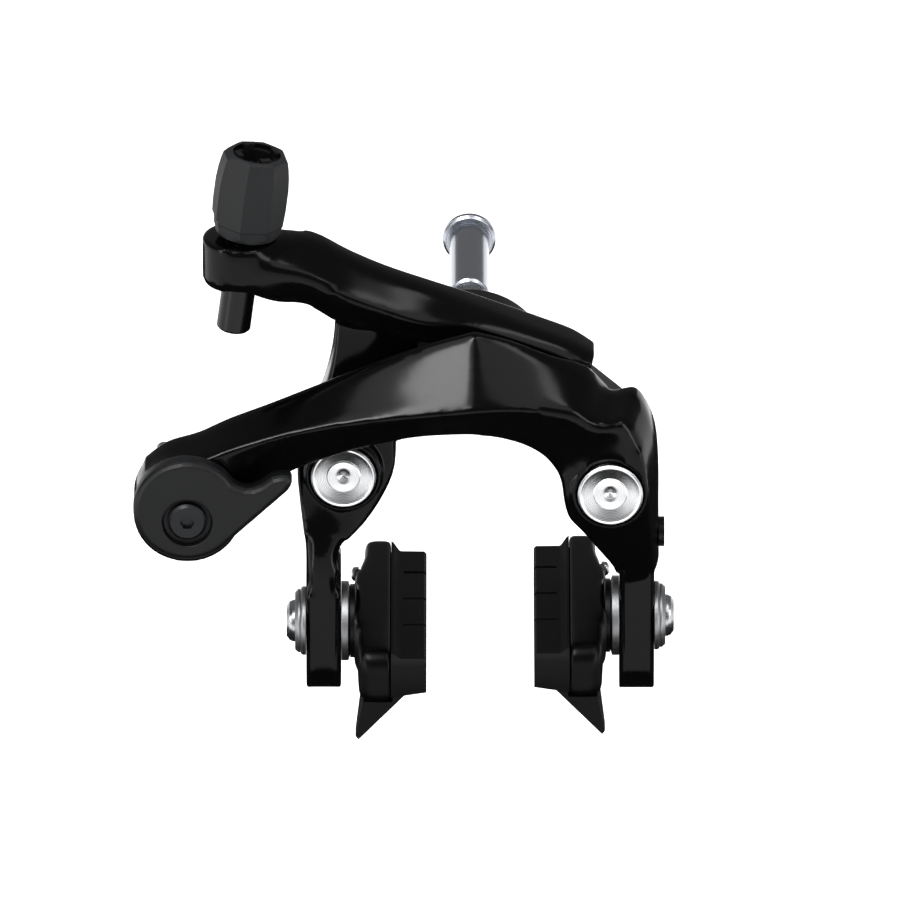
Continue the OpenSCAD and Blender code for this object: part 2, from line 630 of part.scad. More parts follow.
front_right = [
    front_left[8],
    [8, 16.2, 5.5, -3.2, pass_y, pass_top, 0.46, -40.4, -34.5],
    [16, 12.9, 10.5, -4.6, pass_y, pass_top, 0.56, -39.6, -34.5],
    [23.5, 9.4, 14.5, -7.2, -26, -28.6, 0.67, -38.8, -34],
    [right_at.x - 0.2, right_at.y + 18.6, 16.9, -10.1, -24.4, -27, 0.78, -37.8, -33.8],
    [right_at.x + 3.0, right_at.y + 18.8, 18.0, -12.2, -24.2, -27, 0.84, -37.2, -34.2],
    [right_at.x + 5.4, right_at.y + 18.4, 18.5, -14.4, -23.4, -27, 0.85, -36.6, -34.4],
    [right_at.x + 7.8, right_at.y + 13.6, 18.7, -16.4, -21, -27, 0.86, -36, -34.6],
    [right_at.x + 9.2, right_at.y + 7.6, 19.1, -18.6, -18, -27, 0.87, -35.8, -34.6],
    [right_at.x + 9.7, right_at.y + 0.6, 20.0, -21.2, -17, -27, 0.87, -35.4, -34.4],
    [right_at.x + 9.7, right_at.y - 6.4, 22.4, -24.4, leg_y + 6.2, -27, 0.87, -34, -33.2],
    [right_at.x + 9.8, right_at.y - 12.4, 25.6, -29.3, leg_y + 6.2, -26.5, 0.87, -31.8, -31.2],
    [right_at.x + 9.8, right_at.y - 18.6, right_leg_x - 1.2, right_at.y - 19.2, leg_y + 6, -26, 0.86,
        leg_y - 6.8, leg_y - 6.6],
    [right_leg_x + leg_t, right_at.y - 21.2, right_leg_x, right_at.y - 23, leg_y + 6, leg_y - 4.5, 0.85,
        leg_y - 6, leg_y - 6]];
front_turn = through(front_right, 3);
front_stations = concat(through(front_left, 4), [for (i = [1:len(front_turn) - 1]) front_turn[i]]);
centring_z = right_at.y - 13.4;
centring_y = leg_y - 1;
centring_face = right_at.x + 9.7;

module front_arm() color("#17181a") difference() {
    union() {
        loft([for (s = front_stations) section(s, 1.2)]);
        leg(right_leg_x);
        rod_y(right_at, 2 * front_boss_r, front_front, arm_rear);
        rod_y(cam_at + [0, 0.5], 2 * end_r, end_front, pass_y);
    }
    pivot_bore(right_at, front_front);
    slot(right_leg_x, -1);
    rod_y(cam_at, shaft_d + 2 * run_gap, lever_front, 0);
    rod_y(cam_at, lever_face_d, lever_front, end_front);
    rod_y(roller_at, roller_pin_d, pass_y - 5, 0);
    rod_y(right_seat_at, seat_pin_d, seat_pin_front - 1, plate_rear);
    rod_x(centring_y, centring_z, 3, centring_face - 9, centring_face + 9);
    rod_x(centring_y, centring_z, centring_d + 1.2, centring_face, centring_face + 9);
}

module front_arm_bush() color("#b08d4f") bush(right_at, front_front);

module right_spring_seat() color("#1c1c1d") spring_seat(right_seat_at);

module roller_pin() color("#8e9094") {
    rod_y(roller_at, roller_pin_d, pass_y - 5, roller_rear + end_gap);
    rod_y(roller_at, roller_pin_d + 2, pass_y, roller_rear - roller_len - end_gap);
    rod_y(roller_at, roller_pin_d + 1.6, roller_rear + end_gap, roller_rear + 0.8);
}

module link_roller() color("#b9bbbe") difference() {
    rod_y(roller_at, 2 * roller_r, roller_rear - roller_len, roller_rear);
    rod_y(roller_at, roller_pin_d + 2 * run_gap, roller_rear - roller_len - 1, roller_rear + 1);
}

module centring_screw() color("#202123") difference() {
    union() {
        rod_x(centring_y, centring_z, 3 - 2 * run_gap, centring_face - 8, centring_face + 0.2);
        rod_x(centring_y, centring_z, centring_d, centring_face + 0.05, centring_face + centring_h);
    }
    translate([centring_face + centring_h - 0.7, centring_y, centring_z]) rotate([0, 90, 0])
        cylinder(h = 2, d = 2 / cos(30), $fn = 6);
}

// Quick-release lever: round part over the cam shaft, and a tail along the arm
tail_tip = cam_at + [tail_reach, 8.9];
lever_mid = cam_at + [0, lever_rise];
function curve(a, b, c, d, n) = [for (i = [0:n]) let (t = i / n, s = 1 - t)
    a * s * s * s + b * 3 * s * s * t + c * 3 * s * t * t + d * t * t * t];
lever_tail = concat(
    curve(lever_mid + lever_r * [cos(58), sin(58)], lever_mid + [8.5, 6.4], lever_mid + [11.2, 1.8],
        tail_tip + [-4, 0.9], 8),
    curve(tail_tip + [-4, 0.9], tail_tip + [0.2, 2.4], tail_tip + [1.2, 0.4], tail_tip + [-0.8, -2.2], 6),
    [lever_mid + lever_r * [cos(-50), sin(-50)], lever_mid]);

module lever_shape(inset) offset(delta = -inset) union() {
    translate(lever_mid) circle(r = lever_r);
    polygon(lever_tail);
}

module release_lever() color("#3c3e42") difference() {
    union() {
        slab_y(lever_front + 1, lever_rear) lever_shape(0);
        slab_y(lever_front + 0.4, lever_rear) lever_shape(0.35);
        slab_y(lever_front, lever_rear) lever_shape(0.9);
    }
    rod_y(cam_at, recess_d, lever_front - 1, lever_front + recess_deep);
    rod_y(cam_at, lever_thread_d + 2 * hole_gap, lever_front - 1, lever_rear + 1);
    rod_y(cam_at, shaft_d, lever_rear - lever_grip, lever_rear + 1);
    translate([tail_tip.x, lever_front, tail_tip.y]) rotate([0, -42, 0]) translate([0, 0, -3.4])
        rotate([28, 0, 0]) translate([-30, -8, -8]) cube([40, 8, 8]);
}

module lever_screw() color("#202123") difference() {
    turned_y(cam_at, [
        [0, lever_front + 0.3], [lever_screw_d / 2 - 0.6, lever_front + 0.3],
        [lever_screw_d / 2, lever_front + 0.9], [lever_screw_d / 2, lever_front + recess_deep],
        [lever_thread_d / 2, lever_front + recess_deep], [lever_thread_d / 2, lever_rear + 4.6],
        [0, lever_rear + 4.6]]);
    hex_y(cam_at, 2.5, lever_front - 1, lever_front + recess_deep - 0.5);
}

// Cam shaft with the eccentric block that carries the cable clamp
module release_cam() color("#a4a7ab") difference() {
    union() {
        rod_y(cam_at, shaft_d, lever_rear - lever_grip, cam_rear + 1);
        rod_y(clamp_at, clamp_block_d, cam_rear, clamp_y - eps);
    }
    rod_y(cam_at, lever_thread_d, lever_rear - lever_grip - 1, lever_rear + 5);
    rod_y(clamp_at, clamp_d, cam_rear + 2, 0);
    translate([clamp_at.x + clamp_d / 2 + 1.4, clamp_y, clamp_at.y - clamp_block_d])
        cylinder(h = 2 * clamp_block_d, d = cable_d);
}

module cam_washer() color("#8e9094") difference() {
    rod_y(cam_at, shaft_d + 4.6, pass_y + end_gap, cam_rear);
    rod_y(cam_at, shaft_d, pass_y - 1, cam_rear + 1);
}

module clamp_plate() color("#c4c6c9") slab_y(clamp_seat, clamp_seat + clamp_t) difference() {
    corner = 1.5;
    side = clamp_head_d + 1.1 - 2 * corner;
    offset(r = corner) translate(clamp_at) square([side, side - 0.7], center = true);
    translate(clamp_at) circle(d = clamp_d + 2 * hole_gap);
}

module clamp_bolt() color("#8e9094") difference() {
    seat = clamp_seat + clamp_t;
    turned_y(clamp_at, [
        [0, cam_rear + 2], [clamp_d / 2, cam_rear + 2], [clamp_d / 2, seat], [clamp_head_d / 2, seat],
        [clamp_head_d / 2, seat + 2.1], [clamp_head_d / 2 - 0.5, seat + 2.6], [0, seat + 2.6]]);
    hex_y(clamp_at, 4, seat + 0.6, seat + 6);
}

// Adjuster knob: a shell with broad flats on a round foot, threaded on the hollow bolt
knob_low = boss_h / cos(adjuster_lean) + knob_foot_d / 2 * tan(adjuster_lean) + end_gap;
knob_wall_r = 0.47 * knob_d / cos(180 / knob_flats);
knob_start = -80 - 180 / knob_flats;
knob_mouth = 7;

module adjuster_knob() color("#4a4b4e") adjuster_frame() translate([0, 0, knob_low]) difference() {
    r = knob_d / 2;
    union() {
        cylinder(h = 1, d = knob_foot_d);
        intersection() {
            rotate(knob_start) cylinder(h = knob_h, r = knob_wall_r, $fn = knob_flats);
            rotate_extrude() polygon([
                [0, 0.4], [r - 1.7, 0.4], [r - 1.1, 1], [r - 0.8, 2.3], [r - 0.1, 2.9], [r + 0.1, 6.5],
                [r - 0.1, 10], [r - 0.8, knob_h - 3.4], [r - 1.4, knob_h - 1.2], [r - 2, knob_h],
                [0, knob_h]]);
        }
    }
    translate([0, 0, -1]) cylinder(h = knob_h + 2, d = stem_d + 2 * run_gap);
    translate([0, 0, knob_h - knob_mouth]) cylinder(h = knob_mouth + 1, d = clip_d);
}

module knob_clip() color("#2b2c2e") adjuster_frame() difference() {
    floor_z = knob_low + knob_h - knob_mouth;
    tall = knob_mouth - 0.8;
    translate([0, 0, floor_z]) union() {
        cylinder(h = tall, d = clip_d);
        for (a = [25:90:295]) rotate(a) translate([clip_d / 2 - 1.3, -1.1, tall - eps]) cube([1.15, 2.2, 1.2]);
    }
    translate([0, 0, floor_z - 1]) cylinder(h = knob_mouth + 2, d = stem_d + 2 * run_gap);
}

// Hollow bolt that the cable housing seats in
stem_top = knob_low + knob_h - 3;

module adjuster_bolt() color("#1d1e20") adjuster_frame() difference() {
    rotate_extrude() polygon([
        [0, -stem_drop], [stem_d / 2 - 0.5, -stem_drop], [stem_d / 2, -stem_drop + 0.5],
        [stem_d / 2, stem_top], [0, stem_top]]);
    translate([0, 0, stem_top - housing_deep]) cylinder(h = housing_deep + 1, d = housing_d);
    translate([0, 0, -stem_drop - 1]) cylinder(h = stem_top + stem_drop + 2, d = cable_d + 0.8);
}

// Shoe pieces, built for the left side with +X towards the wheel; s = -1 mirrors them for the right
shoe_rear = leg_y + shoe_len / 2;
shoe_nose = leg_y - shoe_len / 2;
shoe_top = -shoe_drop + shoe_h / 2;
shoe_low = -shoe_drop - shoe_h / 2;
outer_x = -leg_t - end_gap;
dish_x = end_gap + convex_t;
holder_x = dish_x + concave_t + end_gap;
channel_x = holder_x + 3.4;
post_tip = channel_x - 0.6;
pad_x = holder_x + holder_t;
pad_top = -shoe_drop - 0.2 + pad_h / 2;
pad_low = pad_top - pad_h;

module shoe_frame(leg_x, s, up) {
    translate([leg_x, 0, up]) scale([s, 1, 1]) children();
}

module post() {
    head = outer_x - 2 * outer_washer_t;
    difference() {
        turned_x(leg_y, -shoe_drop, [
            [0, head - post_head_h], [post_head_d / 2 - 1.2, head - post_head_h],
            [post_head_d / 2 - 0.3, head - post_head_h + 0.6], [post_head_d / 2, head - 0.4],
            [post_head_d / 2, head], [post_d / 2, head], [post_d / 2, post_tip], [0, post_tip]]);
        translate([head - post_head_h - 1, leg_y, -shoe_drop]) rotate([0, 90, 0])
            cylinder(h = 2.2, d = 4 / cos(30), $fn = 6);
    }
}

module outer_washers() {
    mid = outer_x - outer_washer_t;
    turned_x(leg_y, -shoe_drop, [
        [post_d / 2, mid], [outer_washer_d / 2 - 0.4, mid], [outer_washer_d / 2, mid + 0.4],
        [outer_washer_d / 2, outer_x], [post_d / 2, outer_x]]);
    turned_x(leg_y, -shoe_drop, [
        [post_d / 2, mid - outer_washer_t], [head_washer_d / 2 - 0.6, mid - outer_washer_t],
        [head_washer_d / 2, mid - 0.4 * outer_washer_t], [head_washer_d / 2, mid - 2 * eps],
        [post_d / 2, mid - 2 * eps]]);
}

module convex_washer() turned_x(leg_y, -shoe_drop, [
    [post_d / 2, end_gap], [dish_d / 2, end_gap], [dish_d / 2, dish_x - 0.7], [dish_d / 2 - 2.4, dish_x],
    [post_d / 2, dish_x]]);

module concave_washer() turned_x(leg_y, -shoe_drop, [
    [post_d / 2, dish_x], [dish_d / 2 - 2.4, dish_x], [dish_d / 2 - 0.6, dish_x - 0.4],
    [dish_d / 2 - 0.6, dish_x + concave_t - 0.3], [dish_d / 2 - 1, dish_x + concave_t],
    [post_d / 2, dish_x + concave_t]]);

// Section of a shoe holder: depth, how far the outer side lies in from the holder's face, how far the lower
// and the upper edge lie in, and the radius of the outer corners
function holder_ring(s) =
    let (out = holder_x + s[1], low = shoe_low + s[2], top = shoe_top - s[3])
    [for (q = rounded([[out, top], [pad_x, top], [pad_x, low], [out, low]], [s[4], 0.5, 0.5, s[4]], 3))
        [q.x, s[0], q.y]];
holder_form = [
    [shoe_nose, 2.4, 1.2, 3, 1.2],
    [shoe_nose + 0.5, 1.5, 0.5, 1.6, 1.4],
    [shoe_nose + 1.6, 0.7, 0.1, 0.5, 1.5],
    [shoe_nose + 3.4, 0.4, 0, 0, 1.5],
    [leg_y - 0.25 * shoe_len, 0.1, 0, 0, 1.4],
    [leg_y - 0.19 * shoe_len, -0.5, 0, 0, 1.2],
    [leg_y + 0.17 * shoe_len, -0.5, 0, 0, 1.2],
    [leg_y + 0.24 * shoe_len, 0.1, 0, 0, 1.4],
    [leg_y + 0.33 * shoe_len, 1.1, 0, 0, 1.5],
    [shoe_rear - 6, 1.5, 0, 0, 1.5],
    [shoe_rear - 1.6, 1.6, 0.1, 0.1, 1.5],
    [shoe_rear - 0.5, 1.9, 0.5, 0.5, 1.4],
    [shoe_rear, 2.6, 1.2, 1.2, 1.2]];

module holder() difference() {
    loft([for (s = through(holder_form, 2)) holder_ring(s)]);
    rod_x(leg_y, -shoe_drop, dish_d + 2 * recess_gap, 0, holder_x);
    rod_x(leg_y, -shoe_drop, post_d + 2 * run_gap, -1, channel_x + 1);
    pad_tongue();
    rod_x(pad_screw_y, pad_screw_z, pad_screw_d + 2 * hole_gap, 0, pad_screw_seat);
    rod_x(pad_screw_y, pad_screw_z, pad_screw_shank, 0, channel_x);
}

// Tongue of the rubber in the holder's channel
module pad_tongue() {
    translate([channel_x, shoe_nose + 2, -shoe_drop - 2.6])
        cube([pad_x - channel_x + eps, shoe_len + 1, 5.2]);
}

// Fin under the nose of the rubber that leads the wheel in between the shoes
module guide_fin() {
    under = shoe_low - end_gap;
    root = pad_low + 0.6;
    side = pad_x + 0.3;
    tip = under - fin_drop;
    intersection() {
        slab_y(shoe_nose + 1, shoe_nose + 15) polygon([
            [pad_x - 5.6, under], [side, under], [side, root], [pad_x + 2.9, root],
            [pad_x - 6.5, tip], [pad_x - 7.1, tip + 0.8]]);
        rotate([90, 0, 90]) linear_extrude(pad_x + pad_t) polygon([
            [shoe_nose, root + 1], [shoe_nose, tip - 1], [shoe_nose + 2.4, tip - 1],
            [shoe_nose + 16, under - 0.2], [shoe_nose + 16, root + 1]]);
    }
}

module pad() difference() {
    union() {
        intersection() {
            translate([0, 0, pad_low - 1]) linear_extrude(pad_h + pad_lip + 2) polygon([
                [pad_x, shoe_rear - 0.4], [pad_x + 1.6, shoe_rear - 3.4], [pad_x + pad_t, shoe_rear - 3.6],
                [pad_x + pad_t, shoe_nose], [pad_x, shoe_nose]]);
            slab_y(shoe_nose - 1, shoe_rear + 1) polygon([
                [pad_x, pad_low], [pad_x, pad_top + pad_lip], [pad_x + 0.5, pad_top + pad_lip],
                [pad_x + 1.9, pad_top], [pad_x + pad_t - 0.5, pad_top], [pad_x + pad_t, pad_top - 0.5],
                [pad_x + pad_t, pad_low + pad_taper]]);
            translate([pad_x - 1, 0, 0]) rotate([90, 0, 90]) linear_extrude(pad_t + 2) polygon([
                [shoe_rear + 1, pad_low - 1], [shoe_rear + 1, pad_top + 2], [shoe_nose + 2, pad_top + 2],
                [shoe_nose + 1, pad_top], [shoe_nose + 0.3, pad_top - 0.8], [shoe_nose, pad_top - 2],
                [shoe_nose, pad_low + 3.2], [shoe_nose + 1.2, pad_low - 1]]);
        }
        intersection() {
            pad_tongue();
            translate([0, shoe_nose, pad_low]) cube([pad_x + 1, shoe_len - 1, pad_h]);
        }
        guide_fin();
    }
    for (k = [-1:1])
        translate([pad_x + pad_t - groove_deep, leg_y + 1.8 + k * groove_step - groove_w / 2, pad_top - 1.6])
            cube([groove_deep + 1, groove_w, 4]);
}

// Screw from the outside of the holder that keeps the rubber in its channel
pad_screw_y = leg_y + 14;
pad_screw_z = -shoe_drop + 3.7;
pad_screw_shank = 2;
pad_screw_seat = holder_x + 0.4;

module pad_screw() difference() {
    head = pad_screw_seat - pad_screw_h;
    turned_x(pad_screw_y, pad_screw_z, [
        [0, head], [pad_screw_d / 2 - 0.6, head], [pad_screw_d / 2 - 0.15, head + 0.3],
        [pad_screw_d / 2, head + 0.7], [pad_screw_d / 2, pad_screw_seat],
        [pad_screw_shank / 2, pad_screw_seat], [pad_screw_shank / 2, channel_x], [0, channel_x]]);
    translate([head - 1, pad_screw_y, pad_screw_z]) rotate([0, 90, 0])
        cylinder(h = 1.8, d = 1.5 / cos(30), $fn = 6);
}

module left_post() color("#b9bbbe") shoe_frame(left_leg_x, 1, 0) post();
module left_outer_washers() color("#c4c6c9") shoe_frame(left_leg_x, 1, 0) outer_washers();
module left_convex_washer() color("#c4c6c9") shoe_frame(left_leg_x, 1, 0) convex_washer();
module left_concave_washer() color("#a4a7ab") shoe_frame(left_leg_x, 1, 0) concave_washer();
module left_holder() color("#232425") shoe_frame(left_leg_x, 1, 0) holder();
module left_pad() color("#2d2d2e") shoe_frame(left_leg_x, 1, 0) pad();
module left_pad_screw() color("#c4c6c9") shoe_frame(left_leg_x, 1, 0) pad_screw();
module right_post() color("#b9bbbe") shoe_frame(right_leg_x, -1, right_raise) post();
module right_outer_washers() color("#c4c6c9") shoe_frame(right_leg_x, -1, right_raise) outer_washers();
module right_convex_washer() color("#c4c6c9") shoe_frame(right_leg_x, -1, right_raise) convex_washer();
module right_concave_washer() color("#a4a7ab") shoe_frame(right_leg_x, -1, right_raise) concave_washer();
module right_holder() color("#232425") shoe_frame(right_leg_x, -1, right_raise) holder();
module right_pad() color("#2d2d2e") shoe_frame(right_leg_x, -1, right_raise) pad();
module right_pad_screw() color("#c4c6c9") shoe_frame(right_leg_x, -1, right_raise) pad_screw();

pivot_bracket();
mount_bolt();
seat_washer();
sleeve_nut();
left_axle();
right_axle();
axle_nuts();
thrust_washers();
return_spring();
spring_clip();
rear_arm();
rear_arm_bush();
left_spring_seat();
front_arm();
front_arm_bush();
right_spring_seat();
roller_pin();
link_roller();
centring_screw();
release_lever();
lever_screw();
release_cam();
cam_washer();
clamp_plate();
clamp_bolt();
adjuster_knob();
knob_clip();
adjuster_bolt();
left_post();
left_outer_washers();
left_convex_washer();
left_concave_washer();
left_holder();
left_pad();
left_pad_screw();
right_post();
right_outer_washers();
right_convex_washer();
right_concave_washer();
right_holder();
right_pad();
right_pad_screw();
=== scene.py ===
"""Rim brake caliper: skins, turned pieces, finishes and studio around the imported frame."""

import json
import logging
from dataclasses import dataclass, field
from enum import Enum
from math import atan2, copysign, cos, hypot, pi, radians, sin

import bmesh
import bpy
from mathutils import Matrix, Vector


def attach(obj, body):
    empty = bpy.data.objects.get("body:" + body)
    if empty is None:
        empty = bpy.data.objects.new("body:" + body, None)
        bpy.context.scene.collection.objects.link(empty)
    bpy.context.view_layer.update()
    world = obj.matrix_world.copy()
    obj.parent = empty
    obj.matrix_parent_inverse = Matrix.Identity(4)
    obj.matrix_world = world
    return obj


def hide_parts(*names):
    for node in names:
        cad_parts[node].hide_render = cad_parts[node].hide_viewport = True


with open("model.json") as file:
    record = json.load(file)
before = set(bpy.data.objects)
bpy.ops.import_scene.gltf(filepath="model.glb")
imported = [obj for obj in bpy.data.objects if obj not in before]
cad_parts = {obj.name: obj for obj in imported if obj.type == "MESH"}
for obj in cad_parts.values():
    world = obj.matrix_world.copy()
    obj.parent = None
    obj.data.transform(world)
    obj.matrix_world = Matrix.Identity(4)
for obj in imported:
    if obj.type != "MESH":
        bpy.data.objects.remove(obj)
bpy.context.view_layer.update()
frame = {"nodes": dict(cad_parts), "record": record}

RECORD = frame["record"]
BODY_OF = {node: body for body, nodes in RECORD["behaviour"]["bodies"].items() for node in nodes}

MM = 0.001
SHARP = radians(30)
FIRST_PASSES = 3
LAST_PASSES = 2
LOG = logging.getLogger("caliper")
Point = tuple[float, float, float]
Soft = tuple[Point, float, int]


class Axis(Enum):
    """Axis that a turned piece or a ring pattern runs round."""

    X = "X"
    Y = "Y"
    Z = "Z"


class Side(Enum):
    """Side of the wheel, as the photograph shows it."""

    LEFT = "left"
    RIGHT = "right"


def linear(colour: str) -> tuple[float, float, float, float]:
    """Turn an sRGB hex colour into linear values.

    Args:
        colour: six hex digits after a hash sign.

    Returns:
        Red, green, blue and alpha.
    """
    shares = [int(colour[i:i + 2], 16) / 255 for i in (1, 3, 5)]
    parts = [c / 12.92 if c <= 0.04045 else ((c + 0.055) / 1.055) ** 2.4 for c in shares]
    return (parts[0], parts[1], parts[2], 1.0)


def add_node(
    tree: bpy.types.NodeTree,
    kind: str,
    settings: dict[str, object] | None = None,
    values: dict[str | int, object] | None = None,
    links: dict[str | int, bpy.types.NodeSocket] | None = None,
) -> bpy.types.Node:
    """Add a node with its settings, fixed inputs and links.

    Args:
        tree: node tree that takes the node.
        kind: Blender's name for the node type.
        settings: node properties by name.
        values: fixed input values by socket name or number.
        links: output sockets by the name or number of the input that they feed.

    Returns:
        The new node.
    """
    node = tree.nodes.new(kind)
    for key, value in (settings or {}).items():
        setattr(node, key, value)
    for key, value in (values or {}).items():
        node.inputs[key].default_value = value
    for key, source in (links or {}).items():
        tree.links.new(source, node.inputs[key])
    return node


@dataclass(frozen=True)
class Finish:
    """A surface with a fine even grain, from which the other finishes are derived."""

    name: str
    colour: str
    metallic: float = 0.0
    roughness: float = 0.4
    ior: float = 1.5
    specular: float = 0.5
    anisotropy: float = 0.0
    grain_mm: float = 0.5
    bump_mm: float = 0.01
    tint: float = 0.2
    spread: float = 0.06

    def pattern(self, tree: bpy.types.NodeTree, place: bpy.types.NodeSocket) -> bpy.types.NodeSocket:
        """Draw the surface's relief.

        Args:
            tree: the material's node tree.
            place: socket with the object coordinates.

        Returns:
            Socket with heights from 0 to 1.
        """
        grain = add_node(
            tree, "ShaderNodeTexNoise",
            values={"Scale": 1 / (self.grain_mm * MM), "Detail": 3.0, "Roughness": 0.55},
            links={"Vector": place},
        )
        return grain.outputs[0]

    def material(self) -> bpy.types.Material:
        """Make the material, or find it if it is made already.

        Returns:
            The material.
        """
        made = bpy.data.materials.get(self.name)
        if made:
            return made
        made = bpy.data.materials.new(self.name)
        made.use_nodes = True
        tree = made.node_tree
        shader = tree.nodes["Principled BSDF"]
        shader.inputs["Metallic"].default_value = self.metallic
        shader.inputs["IOR"].default_value = self.ior
        shader.inputs["Specular IOR Level"].default_value = self.specular
        shader.inputs["Anisotropic"].default_value = self.anisotropy
        place = add_node(tree, "ShaderNodeTexCoord").outputs["Object"]
        height = self.pattern(tree, place)
        base = linear(self.colour)
        low = tuple(c * (1 - self.tint) for c in base[:3]) + (1.0,)
        high = tuple(min(c * (1 + self.tint), 1.0) for c in base[:3]) + (1.0,)
        shade = add_node(
            tree, "ShaderNodeMix", {"data_type": "RGBA"},
            {6: low, 7: high}, {0: height},
        )
        gloss = add_node(
            tree, "ShaderNodeMapRange",
            values={3: max(self.roughness - self.spread, 0.02), 4: self.roughness + self.spread},
            links={0: height},
        )
        relief = add_node(
            tree, "ShaderNodeBump",
            values={"Strength": 1.0, "Distance": self.bump_mm * MM},
            links={"Height": height},
        )
        tree.links.new(shade.outputs[2], shader.inputs["Base Color"])
        tree.links.new(gloss.outputs[0], shader.inputs["Roughness"])
        tree.links.new(relief.outputs[0], shader.inputs["Normal"])
        self.extra(tree, shader)
        return made

    def extra(self, tree: bpy.types.NodeTree, shader: bpy.types.Node) -> None:
        """Add what a derived finish needs beyond the grain."""


@dataclass(frozen=True)
class Turned(Finish):
    """A lathe-turned surface: fine rings round the piece's own axis."""

    axis: Axis = Axis.Y
    centre: Point = (0.0, 0.0, 0.0)
    pitch_mm: float = 0.3

    def pattern(self, tree: bpy.types.NodeTree, place: bpy.types.NodeSocket) -> bpy.types.NodeSocket:
        """Draw rings round the axis, a little uneven as a tool leaves them.

        Args:
            tree: the material's node tree.
            place: socket with the object coordinates.

        Returns:
            Socket with heights from 0 to 1.
        """
        centred = add_node(
            tree, "ShaderNodeMapping",
            values={"Location": tuple(-c for c in self.centre)}, links={"Vector": place},
        )
        rings = add_node(
            tree, "ShaderNodeTexWave",
            {"wave_type": "RINGS", "rings_direction": self.axis.value},
            {"Scale": pi / 10 / (self.pitch_mm * MM), "Distortion": 0.6, "Detail": 2.0},
            {"Vector": centred.outputs[0]},
        )
        return rings.outputs["Fac"]

    def extra(self, tree: bpy.types.NodeTree, shader: bpy.types.Node) -> None:
        """Run the stretch of the highlights round the axis, as turning marks do."""
        settings = {"direction_type": "RADIAL", "axis": self.axis.value}
        round_axis = add_node(tree, "ShaderNodeTangent", settings)
        tree.links.new(round_axis.outputs[0], shader.inputs["Tangent"])


@dataclass(frozen=True)
class Lacquer(Finish):
    """Gloss lacquer over a forging: smooth above, pitted where the legs were left as struck."""

    pit_mm: float = 0.45
    pit_from_mm: float = -22.0
    pit_to_mm: float = -30.0
    pit_share: float = 0.8

    def pattern(self, tree: bpy.types.NodeTree, place: bpy.types.NodeSocket) -> bpy.types.NodeSocket:
        """Draw the flow of the lacquer, and pits that come in down the legs.

        Args:
            tree: the material's node tree.
            place: socket with the object coordinates.

        Returns:
            Socket with heights from 0 to 1.
        """
        flow = super().pattern(tree, place)
        pits = add_node(
            tree, "ShaderNodeTexNoise",
            values={"Scale": 1 / (self.pit_mm * MM), "Detail": 2.0, "Roughness": 0.6},
            links={"Vector": place},
        )
        parts = add_node(tree, "ShaderNodeSeparateXYZ", links={0: place})
        down = add_node(
            tree, "ShaderNodeMapRange",
            values={1: self.pit_from_mm * MM, 2: self.pit_to_mm * MM, 3: 0.0, 4: self.pit_share},
            links={0: parts.outputs["Z"]},
        )
        both = add_node(
            tree, "ShaderNodeMix", {"data_type": "FLOAT"},
            links={0: down.outputs[0], 2: flow, 3: pits.outputs[0]},
        )
        return both.outputs[0]


@dataclass(frozen=True)
class Leg:
    """The leg of an arm, with the slot in which the shoe's bolt slides; sizes in mm."""

    low: Point
    high: Point
    hold_radius: float
    slot_y: float = -23.0
    slot_low: float = -55.5
    slot_high: float = -41.7

    def holds(self, point: Vector) -> bool:
        """Say whether a point in metres is near enough to the slot to keep its place.

        Args:
            point: the point.

        Returns:
            True for a point within the radius of the slot's middle line.
        """
        height = min(max(point.z / MM, self.slot_low), self.slot_high)
        return hypot(point.y / MM - self.slot_y, point.z / MM - height) < self.hold_radius


